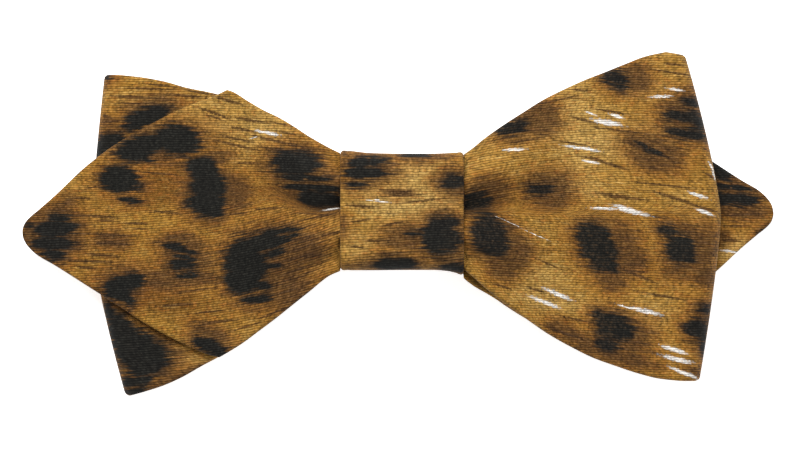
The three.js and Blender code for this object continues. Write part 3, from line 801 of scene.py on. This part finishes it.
def cut_strip(strip, spots, browns, tones_and_light, hairs):
    """A strip as a piece of cloth, with its flat width, length and area in millimetres."""
    rows = strip_rows(strip)
    x, y, z = rows["x"], rows["y"], rows["z"]
    side = strip["point_side"]
    # A layer's slope along the strip, without what the rows' spreading apart adds to it
    slope_across = np.gradient(z, axis=1) / np.gradient(y, axis=1)
    dx = np.gradient(x, axis=0)
    dz = np.gradient(z, axis=0) - slope_across * np.gradient(y, axis=0)
    length = np.maximum(np.hypot(dx, dz), 1e-9)
    normal = np.stack([side * dz / length, np.zeros_like(x), -side * dx / length], axis=2)
    middle = np.stack([x, y, z], axis=2)

    along = along_lengths(x, z)
    fold_rows = np.flatnonzero(rows["fold"])
    fold_first, fold_last = fold_rows[0], fold_rows[-1]
    row = np.arange(len(x))[:, None]
    # The face that is up on the long run carries the chart there, and its print goes on past the fold.
    past = x[fold_first - 1] - side * (along - along[fold_first - 1])
    up_face = np.where(row < fold_first, x, past)
    # The other face of the back strip carries it on the return, where that is what shows.
    if side > 0:
        before = x[fold_last + 1] - side * (along[fold_last + 1] - along)
        down_face = np.where(row > fold_last, x, before)
        down_face = np.where(x > 0, x + BACK_OF_CLOTH, down_face)
    else:
        down_face = up_face + BACK_OF_CLOTH

    all_spots, all_browns = charted(spots), charted(browns)
    for number, (start, end) in enumerate(hidden_stretches(SPOTS_CHARTED)):
        more_spots, more_browns = scattered_spots(start, end, HIDDEN_SEED + number)
        all_spots += more_spots
        all_browns += more_browns
    weave = (along, row_lines(x, y))
    maps = maps_of([(down_face, y), (up_face, y)], weave, hair_lines(x, y), all_spots, all_browns, tones_and_light)
    piece = cloth_shell(strip["name"] + "_cloth", middle, normal, rows["thick"] * CLOTH / 2, maps, hairs)
    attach(piece, "root")
    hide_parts(strip["name"])
    flat_width = float(y[fold_first].max() - y[fold_first].min())
    flat_length = float(along[-1].mean())
    area = float((np.diff(along, axis=0)[:, 1:] * np.diff((y[1:] + y[:-1]) / 2, axis=1)).sum())
    return piece, flat_width, flat_length, area


# Steps of the knot band's grid
BAND_ACROSS = 64
BAND_SIDE = 44
BAND_ARC = 9
# The band's front swells between its hems and pulls into low folds; a hem sinks this far in from each edge
BAND_SWELL = 0.10
BAND_FOLDS = 0.05
HEM_DEPTH = 0.07
HEM_INSET = 1.25
HEM_WIDTH = 0.22
# Spots of the band above and below the chart, in millimetres: place, half length, half height, turn, margin
BAND_SPOTS_BEYOND = (
    (-5, 17, 3, 2, 0.2, 0.7), (4, 22, 3.4, 2.2, -0.2, 0.7), (-3, 28, 3, 2, 0.1, 0.7),
    (6, -17, 3.2, 2.1, 0.1, 0.7), (-5, -22, 3, 2.4, -0.3, 0.7), (3, -28, 3, 2, 0, 0.7),
)
BAND_BACK_SEED = 9


def band_path():
    """Places round the band as shares: which corner and how far through it, or along the side after it."""
    path = []
    for corner in range(4):
        path += [(corner, k / BAND_ARC, 0.0) for k in range(BAND_ARC + 1)]
        path += [(corner, 1.0, k / BAND_SIDE) for k in range(1, BAND_SIDE)]
    return path


def band_rows():
    """The middle of the band's cloth, row after row round the bow, its normals and half its thickness."""
    depth = BAND_WALL / 2
    edge = np.array(RIM + (1.0,)) * depth
    inner = np.linspace(-band_edge + edge[-1], band_edge - edge[-1], BAND_ACROSS + 1)[1:-1]
    xs = np.concatenate([-band_edge + edge, inner, band_edge - edge[::-1]])
    from_edge = np.clip((band_edge - np.abs(xs)) / depth, 0, 1)
    wall = np.sqrt(1 - (1 - from_edge) ** 2) * BAND_WALL / 2
    low = -BAND_HEIGHT / 2 * column(BAND_STATIONS, 2, xs / band_edge) + depth
    high = BAND_HEIGHT / 2 * column(BAND_STATIONS, 1, xs / band_edge) - depth
    radius = BAND_CORNER - depth
    front = band_front - depth - radius
    back = band_back + depth + radius
    centres = [(high - radius, front), (low + radius, front), (low + radius, back), (high - radius, back)]
    ys, zs, angles = [], [], []
    for corner, through, beside in band_path():
        angle = math.pi / 2 * (corner + through)
        cy, cz = centres[corner]
        if beside:
            next_y, next_z = centres[(corner + 1) % 4]
            cy, cz = lerp(cy, next_y, beside), lerp(cz, next_z, beside)
        ys.append(cy + radius * math.cos(angle))
        zs.append(np.full(xs.shape, cz + radius * math.sin(angle)))
        angles.append(np.full(xs.shape, angle))
    y, z, angle = (np.array(v) for v in (ys, zs, angles))
    ny, nz = np.cos(angle), np.sin(angle)
    x = np.broadcast_to(xs, y.shape)
    swell = BAND_SWELL * (1 - (x / band_edge) ** 2) * np.maximum(nz, 0) ** 2
    folds = BAND_FOLDS * np.sin(y * 1.5 + 0.25 * x) * (0.5 + 0.5 * np.cos(x / 5)) * np.maximum(nz, 0)
    hem = -HEM_DEPTH * np.exp(-((np.abs(x) - band_edge + HEM_INSET) / HEM_WIDTH) ** 2)
    moved = swell + folds + hem
    middle = np.stack([x, y + ny * moved, z + nz * moved], axis=2)
    return middle, np.stack([np.zeros_like(x), ny, nz], axis=2), np.broadcast_to(wall, x.shape)


def make_band(hairs):
    """The knot band as a piece of cloth, and the length of one turn in millimetres."""
    middle, normal, thick = band_rows()
    x, y, z = (middle[:, :, n] for n in range(3))
    steps = np.hypot(np.diff(y, axis=0), np.diff(z, axis=0))
    around = np.concatenate([np.zeros((1, x.shape[1])), np.cumsum(steps, axis=0)])
    full_turn = around[-1] + np.hypot(y[0] - y[-1], z[0] - z[-1])

    # The print is laid round the band from the middle of its front.
    front_rows = np.where((normal[:, 0, 2] > 0.999) & (np.abs(y[:, 0]) < 5))[0]
    start = front_rows[len(front_rows) // 2]
    place = y[start] - (around - around[start])
    place = np.where(place < y[start] - full_turn / 2, place + full_turn, place)
    spots, browns = scattered_spots(BACK_OF_CLOTH - 20, BACK_OF_CLOTH + 20, BAND_BACK_SEED)
    browns_beyond = [(s[0] + 1, s[1], s[2] + 1.5, s[3] + 1.2, s[4]) for s in BAND_SPOTS_BEYOND]
    all_spots = charted(KNOT_SPOTS) + list(BAND_SPOTS_BEYOND) + spots
    all_browns = charted(KNOT_BROWN) + browns_beyond + browns
    tilted = place - 0.05 * x * smoothstep(-place, -2, 6)
    hair = tilted + 0.3 * np.sin(x / 6)
    prints = [(x + BACK_OF_CLOTH, place), (x, place)]
    maps = maps_of(prints, (x, tilted), hair, all_spots, all_browns, KNOT_TONES_AND_LIGHT)
    piece = cloth_shell("knot_band_cloth", middle, normal, thick, maps, hairs, closed=True)
    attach(piece, "root")
    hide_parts("knot_band")
    return piece, float(full_turn.mean())


# Finishes
def colour(red, green, blue):
    """A colour given as it looks on a screen, 0 to 255, as the shader needs it."""
    def linear(value):
        value = value / 255
        return value / 12.92 if value <= 0.04045 else ((value + 0.055) / 1.055) ** 2.4
    return (linear(red), linear(green), linear(blue), 1.0)


# Colours of the print
GOLD_LIGHT = colour(186, 151, 84)
GOLD = colour(153, 111, 42)
GOLD_LOW = colour(110, 73, 23)
FINE_BROWN = colour(92, 60, 26)
FINE_LIGHT = colour(184, 156, 98)
WARM_BROWN = colour(132, 82, 30)
RUST_YARN = colour(146, 86, 30)
OLIVE_YARN = colour(96, 76, 34)
HAIR_BROWN = colour(74, 49, 24)
MARGIN_BROWN = colour(66, 45, 26)
SPOT_DARK = colour(24, 25, 23)
HAIR_WHITE = colour(226, 222, 216)
# Painted highlight added on the lightest yarn
PAINTED_YARN_GLINT = colour(40, 39, 34)
# Colours of the clip's steel
STEEL_LOW = colour(176, 178, 182)
STEEL_HIGH = colour(206, 208, 212)
STEEL_STAIN = colour(150, 148, 145)

# Height of a row of the weave in millimetres
ROW_HEIGHT = 0.4


class Value:
    """A number that changes over a surface. Expressions on it add the nodes that work it out."""

    def __init__(self, finish, socket):
        self.finish = finish
        self.socket = socket

    def worked(self, operation, first, second):
        return self.finish.node("ShaderNodeMath", {"operation": operation}, {0: first, 1: second})

    def __add__(self, other):
        return self.worked("ADD", self, other)

    def __radd__(self, other):
        return self.worked("ADD", other, self)

    def __sub__(self, other):
        return self.worked("SUBTRACT", self, other)

    def __rsub__(self, other):
        return self.worked("SUBTRACT", other, self)

    def __mul__(self, other):
        return self.worked("MULTIPLY", self, other)

    def __rmul__(self, other):
        return self.worked("MULTIPLY", other, self)

    def __truediv__(self, other):
        return self.worked("DIVIDE", self, other)


class Finish:
    """A material, made node by node."""

    def __init__(self, name):
        self.material = bpy.data.materials.new(name)
        self.material.use_nodes = True
        self.nodes = self.material.node_tree.nodes
        self.links = self.material.node_tree.links
        self.shader = self.nodes["Principled BSDF"]

    def node(self, kind, settings, values, output=0):
        """A new node with its settings, then the values or links of its sockets."""
        made = self.nodes.new(kind)
        for name, setting in settings.items():
            setattr(made, name, setting)
        for name, value in values.items():
            if isinstance(value, Value):
                self.links.new(value.socket, made.inputs[name])
            else:
                made.inputs[name].default_value = value
        return Value(self, made.outputs[output])

    def surface(self, **values):
        """Values or links for the sockets of the material's own shader."""
        for name, value in values.items():
            socket = self.shader.inputs[name.replace("_", " ")]
            if isinstance(value, Value):
                self.links.new(value.socket, socket)
            else:
                socket.default_value = value

    def uv(self, name):
        return self.node("ShaderNodeUVMap", {"uv_map": name}, {})

    def parts(self, vector):
        """The numbers of a vector, each by itself."""
        first = self.node("ShaderNodeSeparateXYZ", {}, {0: vector})
        return [Value(self, socket) for socket in first.socket.node.outputs]

    def noise(self, vector, scale, seed, detail=2.0, roughness=0.5):
        """Noise with its own scale along and across, and its own place for each seed."""
        scaled = {0: vector, 1: (*scale, 1.0), 2: (seed, 1.7 * seed, 0.9 * seed)}
        place = self.node("ShaderNodeVectorMath", {"operation": "MULTIPLY_ADD"}, scaled)
        values = {"Vector": place, "Scale": 1.0, "Detail": detail, "Roughness": roughness}
        return self.node("ShaderNodeTexNoise", {"noise_dimensions": "3D"}, values)

    def ramp(self, value, low, high, start=0.0, end=1.0):
        """A soft step from start, where the value is low, to end, where it is high."""
        values = {"Value": value, "From Min": low, "From Max": high, "To Min": start, "To Max": end}
        return self.node("ShaderNodeMapRange", {"interpolation_type": "SMOOTHSTEP"}, values)

    def mix(self, share, first, second, blend="MIX"):
        settings = {"data_type": "RGBA", "blend_type": blend}
        return self.node("ShaderNodeMix", settings, {0: share, 6: first, 7: second}, output=2)

    def by_row(self, along, row):
        """A value that changes along each row of the weave and jumps from row to row."""
        place = self.node("ShaderNodeCombineXYZ", {}, {0: along, 1: row, 2: 0.0})
        values = {"Vector": place, "Scale": 1.0, "Detail": 1.0}
        return self.node("ShaderNodeTexNoise", {"noise_dimensions": "2D"}, values)

    def beside(self, name):
        """How far a place is from the nearest hair of a hair map, 1 at the hair's outline."""
        return self.node("ShaderNodeVectorMath", {"operation": "LENGTH"}, {0: self.uv(name)}, output=1)


def printed_cotton(name):
    """Tan cotton with a printed pattern of dark spots, brown margins and fine hairs, woven in fine rows; the
    rows' shade and highlights and some light and shade of the folds are painted into its colour.
    """
    f = Finish(name)
    at_hair, at_weave = f.uv("hair"), f.uv("weave")
    core, brown, _ = f.parts(f.uv("spots"))
    along, across, _ = f.parts(at_weave)
    # Broad drifts of the ground, print and painted light and shade together, and where the dark print is thin
    tone, dry, _ = f.parts(f.uv("tones_and_light"))

    # Threads: rows, each broken into floats of lighter and darker yarn
    wobble = f.noise(at_weave, (0.7, 0.6), seed=15.0, detail=1.0)
    row_height = (across + (wobble - 0.5) * 0.26) / ROW_HEIGHT
    row = f.node("ShaderNodeMath", {"operation": "FLOOR"}, {0: row_height})
    within = row_height - row
    rib = f.node("ShaderNodeMath", {"operation": "SINE"}, {0: within * math.pi})
    floats = f.by_row(along * 1.9, row * 3.7)
    dye = f.by_row(along * 0.7, row * 7.9)
    yarn = f.noise(at_weave, (3.0, 5.0), seed=4.0, detail=1.0)

    # The brushed edges of the spots
    streaks = f.noise(at_hair, (0.18, 2.5), seed=1.0, detail=3.0, roughness=0.65)
    lumps = f.noise(at_hair, (0.25, 0.6), seed=7.0, detail=2.0)
    fine = f.noise(at_hair, (0.42, 5.0), seed=12.0, detail=2.0, roughness=0.6)
    strands = f.by_row(along * 0.5, row * 5.3)
    edge_shift = (streaks - 0.5) * 5.0 + (lumps - 0.5) * 1.2 + (strands - 0.5) * 1.2
    core_share = f.ramp(core + edge_shift * 0.75, -0.80, 0.55)
    brown_share = f.ramp(brown + edge_shift, -1.1, 1.0)

    # Ground: gold that drifts between lighter and lower shades, partly print and partly painted light and
    # shade, with fine brown and light hairs
    drift = f.noise(at_hair, (0.05, 0.13), seed=21.0, detail=2.0)
    level = 0.5 + tone * 0.36 + (drift - 0.5) * 0.8 + (fine - 0.5) * 0.45
    ground = f.mix(f.ramp(level, 0.42, 0.98), GOLD, GOLD_LIGHT)
    ground = f.mix(f.ramp(level, 0.46, 0.0), ground, GOLD_LOW)
    ground = f.mix(f.ramp(streaks, 0.50, 0.26) * 0.55, ground, GOLD_LOW)
    hairs = f.noise(at_hair, (0.12, 1.9), seed=33.0, detail=2.0)
    region = f.noise(at_hair, (0.06, 0.12), seed=41.0, detail=1.0)
    hair_share = f.ramp(hairs + (fine - 0.5) * 0.25, 0.56, 0.72) * f.ramp(region, 0.38, 0.60) * 0.5
    ground = f.mix(hair_share, ground, FINE_BROWN)
    ground = f.mix(f.ramp(fine, 0.54, 0.74) * 0.35, ground, FINE_LIGHT)
    warm = f.ramp(brown + (lumps - 0.5) * 2.0, -2.8, 0.2)
    ground = f.mix(warm * 0.55, ground, WARM_BROWN)
    ground = f.mix(f.ramp(dye, 0.56, 0.78) * 0.42, ground, RUST_YARN)
    ground = f.mix(f.ramp(dye, 0.44, 0.24) * 0.35, ground, OLIVE_YARN)

    # Brown hairs lie under the spots, and white hairs over them.
    beside_brown = f.beside("brown_hairs") + (fine - 0.5) * 1.7 + (floats - 0.5) * 0.7
    ground = f.mix(f.ramp(beside_brown, 1.8, 0.6) * 0.85, ground, HAIR_BROWN)
    printed = f.mix(brown_share * f.ramp(fine, 0.30, 0.70, 0.92, 0.56), ground, MARGIN_BROWN)
    thin = f.ramp(fine * 0.6 + floats * 0.4, 0.44, 0.66) * dry
    printed = f.mix(core_share * (0.98 - thin * 0.14), printed, SPOT_DARK)
    beside_white = f.beside("white_hairs") + (fine - 0.5) * 1.6 + (floats - 0.5) * 1.5
    printed = f.mix(f.ramp(beside_white, 1.45, 0.6) * 0.95, printed, HAIR_WHITE)

    # Yarn over the print: painted shade in the hollows between rows and lighter row tops, with lighter and
    # darker yarn; then a painted highlight on the lightest yarn
    shade = 0.325 + rib * (0.62 + (yarn - 0.5) * 1.1) + (floats - 0.5) * 1.10
    shade_colour = f.node("ShaderNodeCombineColor", {}, {0: shade, 1: shade, 2: shade})
    woven = f.mix(1.0, printed, shade_colour, blend="MULTIPLY")
    # Painted highlight: a pale colour added where the painted row shading is lightest, less on the dark spots
    painted_glint = f.ramp(shade, 0.75, 1.60) * (1.0 - core_share * 0.45)
    woven = f.mix(painted_glint, woven, PAINTED_YARN_GLINT, blend="ADD")

    relief = rib * 0.7 + (floats - 0.5) * 0.9 + (yarn - 0.5) * 0.5
    bump = f.node("ShaderNodeBump", {}, {"Strength": 0.6, "Distance": 0.00007, "Height": relief})
    f.surface(Base_Color=woven, Roughness=0.82 + (yarn - 0.5) * 0.2, Normal=bump)
    f.surface(Sheen_Weight=0.02, Sheen_Roughness=0.5, Specular_IOR_Level=0.10)
    return f.material


def satin_steel():
    """Bent sheet steel with fine brushing along its length."""
    f = Finish("satin_steel")
    place = f.node("ShaderNodeTexCoord", {}, {}, output=3)
    brushing = f.noise(place, (5200.0, 160.0), seed=2.0, detail=3.0)
    stains = f.noise(place, (260.0, 260.0), seed=6.0, detail=3.0)
    tone = f.mix(f.ramp(brushing, 0.3, 0.7), STEEL_LOW, STEEL_HIGH)
    tone = f.mix(f.ramp(stains, 0.55, 0.8) * 0.25, tone, STEEL_STAIN)
    bump = f.node("ShaderNodeBump", {}, {"Strength": 0.25, "Distance": 0.00002, "Height": brushing})
    f.surface(Base_Color=tone, Roughness=0.30 + brushing * 0.16 + stains * 0.08, Normal=bump, Metallic=1.0)
    return f.material


def plain_floor():
    """A pale floor that stays near white and still takes a trace of shadow."""
    f = Finish("pale_floor")
    f.surface(Base_Color=(0.9, 0.9, 0.9, 1.0), Roughness=0.9, Specular_IOR_Level=0.0)
    f.surface(Emission_Color=(1.0, 1.0, 1.0, 1.0), Emission_Strength=0.74)
    return f.material


# Cloth pieces
front_piece, front_width, front_length, front_area = cut_strip(
    FRONT_STRIP, LEFT_FRONT_SPOTS + RIGHT_FRONT_SPOTS, LEFT_FRONT_BROWN + RIGHT_FRONT_BROWN, FRONT_TONES_AND_LIGHT,
    hair_maps(LEFT_FRONT_HAIRS + RIGHT_FRONT_HAIRS, LEFT_FRONT_WHITE + RIGHT_FRONT_WHITE, 1),
)
back_piece, back_width, back_length, back_area = cut_strip(
    BACK_STRIP, LEFT_BACK_SPOTS + RIGHT_BACK_SPOTS, LEFT_BACK_BROWN + RIGHT_BACK_BROWN, BACK_TONES_AND_LIGHT,
    hair_maps(LEFT_BACK_HAIRS + RIGHT_BACK_HAIRS, RIGHT_BACK_WHITE, 2),
)
band_piece, band_turn = make_band(hair_maps(KNOT_HAIRS, KNOT_WHITE, 3))

front_piece.data.materials.append(printed_cotton("front_cotton"))
back_piece.data.materials.append(printed_cotton("back_cotton"))
band_piece.data.materials.append(printed_cotton("knot_cotton"))

# The clip keeps its solid's mesh.
steel = satin_steel()
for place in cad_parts["collar_clip"].material_slots:
    place.material = steel

# Floor, light and camera
bpy.ops.mesh.primitive_plane_add(size=4.0, location=(0, 0, -0.00005))
floor = bpy.context.object
floor.name = "floor"
floor.data.materials.append(plain_floor())

world = bpy.context.scene.world or bpy.data.worlds.new("studio")
bpy.context.scene.world = world
world.use_nodes = True
world.node_tree.nodes["Background"].inputs["Color"].default_value = (1.0, 1.0, 1.0, 1.0)
world.node_tree.nodes["Background"].inputs["Strength"].default_value = 0.28


def area_light(name, place, size, power):
    """A square light that shines at the middle of the knot."""
    data = bpy.data.lights.new(name, "AREA")
    data.size = size
    data.energy = power
    light = bpy.data.objects.new(name, data)
    bpy.context.collection.objects.link(light)
    light.location = place
    light.rotation_euler = (-light.location).to_track_quat("-Z", "Y").to_euler()


area_light("key", (-0.12, 0.52, 0.86), 0.5, 14.6)
area_light("fill", (0.5, -0.35, 0.9), 0.8, 2.7)

# The camera looks straight down; the photo shows VIEW_WIDTH millimetres from side to side round VIEW_CENTRE.
LENS = 300.0
SENSOR = 36.0
VIEW_WIDTH = 133.333
VIEW_CENTRE = (-0.333, -2.333, 6.0)
camera_data = bpy.data.cameras.new("camera")
camera_data.lens = LENS
camera_data.sensor_width = SENSOR
camera_data.clip_end = 20.0
camera = bpy.data.objects.new("camera", camera_data)
bpy.context.collection.objects.link(camera)
view_x, view_y, view_z = VIEW_CENTRE
camera.location = (view_x * MM, view_y * MM, (view_z + VIEW_WIDTH * LENS / SENSOR) * MM)
bpy.context.scene.camera = camera
bpy.context.scene.view_settings.view_transform = "Standard"
